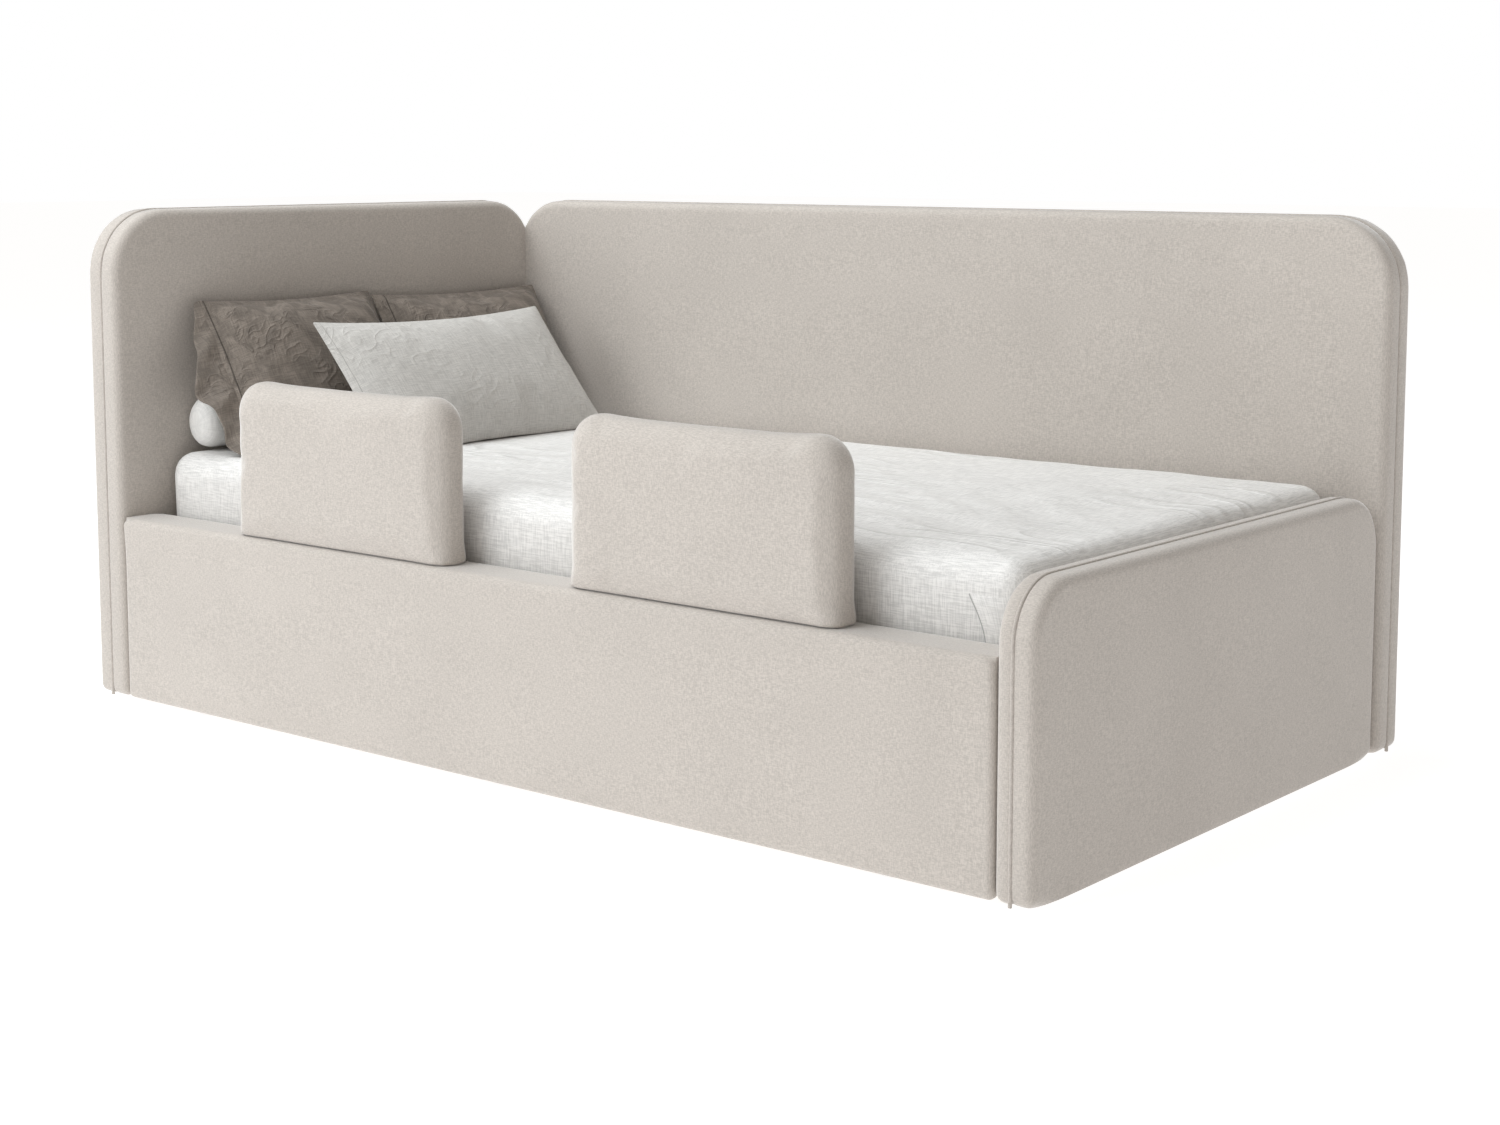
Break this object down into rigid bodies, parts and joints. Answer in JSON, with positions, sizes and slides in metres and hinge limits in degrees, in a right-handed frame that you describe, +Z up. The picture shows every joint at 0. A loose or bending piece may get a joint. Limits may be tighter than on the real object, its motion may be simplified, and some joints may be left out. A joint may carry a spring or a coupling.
{
  "type": "toddler bed",
  "caption": "Upholstered toddler bed with tall head and back panels, low footboard, guard bolsters and a lift-up slatted platform over a storage box.",
  "frame": {"origin": "middle of the bed's footprint, on the floor", "axes": "+X from the headboard to the foot of the bed, +Y from the open front to the back panel, +Z up"},
  "size_m": [1.7562, 0.9772, 0.7702],
  "materials": {
    "upholstery": "matt velour",
    "piping": "matt",
    "board": "satin",
    "timber": "satin",
    "slat_wood": "satin",
    "coated_steel": "powder coat",
    "zinc_steel": "zinc plated",
    "rod_steel": "polished",
    "plastic": "matt",
    "grip_rubber": "matt",
    "webbing": "woven",
    "mattress_linen": "woven linen",
    "foam": "open cell foam",
    "dark_linen": "woven linen",
    "light_linen": "woven linen",
    "white_cotton": "woven cotton"
  },
  "bodies": {
    "root": {"headboard_inner_pad": "upholstery", "headboard_outer_pad": "upholstery", "headboard_core": "board", "headboard_piping": "piping", "back_panel_inner_pad": "upholstery", "back_panel_outer_pad": "upholstery", "back_panel_core": "board", "back_panel_piping": "piping", "footboard_inner_pad": "upholstery", "footboard_outer_pad": "upholstery", "footboard_core": "board", "footboard_piping": "piping", "front_rail_board": "board", "front_rail_batten": "timber", "front_rail_pad": "upholstery", "front_ledger": "timber", "front_hinge_block": "timber", "back_rail_board": "board", "storage_bottom": "board", "bottom_bearers": "timber", "floor_glides": "plastic", "corner_angles": "zinc_steel", "corner_screws": "zinc_steel", "front_base_plate": "coated_steel", "back_base_plate": "coated_steel", "base_plate_pins": "zinc_steel", "base_plate_bolts": "zinc_steel"},
    "guard_1": {"guard_1_core": "board", "guard_1_tongues": "zinc_steel", "guard_1_cushion": "upholstery"},
    "guard_2": {"guard_2_core": "board", "guard_2_tongues": "zinc_steel", "guard_2_cushion": "upholstery"},
    "lift_cranks": {"front_crank_arm": "coated_steel", "back_crank_arm": "coated_steel", "crank_cross_tube": "coated_steel"},
    "platform": {"platform_frame": "coated_steel", "slats": "slat_wood", "slat_holders": "plastic", "grip_pads": "grip_rubber", "lift_strap": "webbing", "front_platform_bracket": "coated_steel", "back_platform_bracket": "coated_steel", "platform_bracket_pins": "zinc_steel"},
    "front_rear_link": {"front_rear_link": "coated_steel"},
    "back_rear_link": {"back_rear_link": "coated_steel"},
    "front_gas_cylinder": {"front_gas_cylinder": "coated_steel"},
    "front_gas_rod": {"front_gas_rod": "rod_steel"},
    "back_gas_cylinder": {"back_gas_cylinder": "coated_steel"},
    "back_gas_rod": {"back_gas_rod": "rod_steel"},
    "mattress": {"mattress_foam": "foam", "mattress_cover": "mattress_linen"},
    "pillow_left": {"pillow_left": "dark_linen"},
    "pillow_right": {"pillow_right": "dark_linen"},
    "pillow_front": {"pillow_front": "light_linen"},
    "bolster_pillow": {"bolster_pillow": "white_cotton"}
  },
  "joints": [
    {"name": "platform_lift", "type": "hinge", "parent": "root", "child": "lift_cranks", "pos_m": [-0.3195, -0.002, 0.06], "axis": [0, 1, 0], "range_deg": [0, 44.12], "deforming": ["pillow_left", "pillow_right", "pillow_front", "bolster_pillow"]},
    {"name": "platform_tilt", "type": "hinge", "parent": "lift_cranks", "child": "platform", "pos_m": [-0.6875, -0.002, 0.15], "axis": [0, -1, 0], "range_deg": [0, 74.12]},
    {"name": "front_rear_link_turn", "type": "hinge", "parent": "root", "child": "front_rear_link", "pos_m": [-0.4554, -0.002, 0.1184], "axis": [0, 1, 0], "range_deg": [0, 51.93]},
    {"name": "back_rear_link_turn", "type": "hinge", "parent": "root", "child": "back_rear_link", "pos_m": [-0.4554, -0.002, 0.1184], "axis": [0, 1, 0], "range_deg": [0, 51.93]},
    {"name": "front_gas_cylinder_turn", "type": "hinge", "parent": "root", "child": "front_gas_cylinder", "pos_m": [-0.5249, -0.002, 0.04], "axis": [0, 1, 0], "range_deg": [0, 50.25]},
    {"name": "back_gas_cylinder_turn", "type": "hinge", "parent": "root", "child": "back_gas_cylinder", "pos_m": [-0.5249, -0.002, 0.04], "axis": [0, 1, 0], "range_deg": [0, 50.25]},
    {"name": "front_gas_rod_slide", "type": "slide", "parent": "front_gas_cylinder", "child": "front_gas_rod", "axis": [-0.8808, 0, 0.4735], "range_m": [0, 0.06]},
    {"name": "back_gas_rod_slide", "type": "slide", "parent": "back_gas_cylinder", "child": "back_gas_rod", "axis": [-0.8808, 0, 0.4735], "range_m": [0, 0.06]},
    {"name": "guard_1_lift_off", "type": "slide", "parent": "root", "child": "guard_1", "axis": [0, 0, 1], "range_m": [0, 0.12]},
    {"name": "guard_2_lift_off", "type": "slide", "parent": "root", "child": "guard_2", "axis": [0, 0, 1], "range_m": [0, 0.12]},
    {"name": "mattress_lift_off", "type": "slide", "parent": "platform", "child": "mattress", "axis": [0, 0, 1], "range_m": [0, 0.12]},
    {"name": "pillow_left_lift_off", "type": "slide", "parent": "mattress", "child": "pillow_left", "axis": [0, 0, 1], "range_m": [0, 0.2]},
    {"name": "pillow_right_lift_off", "type": "slide", "parent": "mattress", "child": "pillow_right", "axis": [0, 0, 1], "range_m": [0, 0.2]},
    {"name": "pillow_front_lift_off", "type": "slide", "parent": "mattress", "child": "pillow_front", "axis": [0, 0, 1], "range_m": [0, 0.2]},
    {"name": "bolster_pull_out", "type": "slide", "parent": "mattress", "child": "bolster_pillow", "axis": [0, -1, 0], "range_m": [0, 0.2]}
  ],
  "couplings": [
    {"joint": "platform_tilt", "follows": "platform_lift", "ratio": 1.6799},
    {"joint": "front_rear_link_turn", "follows": "platform_lift", "ratio": 1.177},
    {"joint": "back_rear_link_turn", "follows": "platform_lift", "ratio": 1.177},
    {"joint": "front_gas_cylinder_turn", "follows": "platform_lift", "ratio": 1.139},
    {"joint": "back_gas_cylinder_turn", "follows": "platform_lift", "ratio": 1.139},
    {"joint": "front_gas_rod_slide", "follows": "platform_lift", "m_per_rad": 0.077918},
    {"joint": "back_gas_rod_slide", "follows": "platform_lift", "m_per_rad": 0.077918}
  ]
}
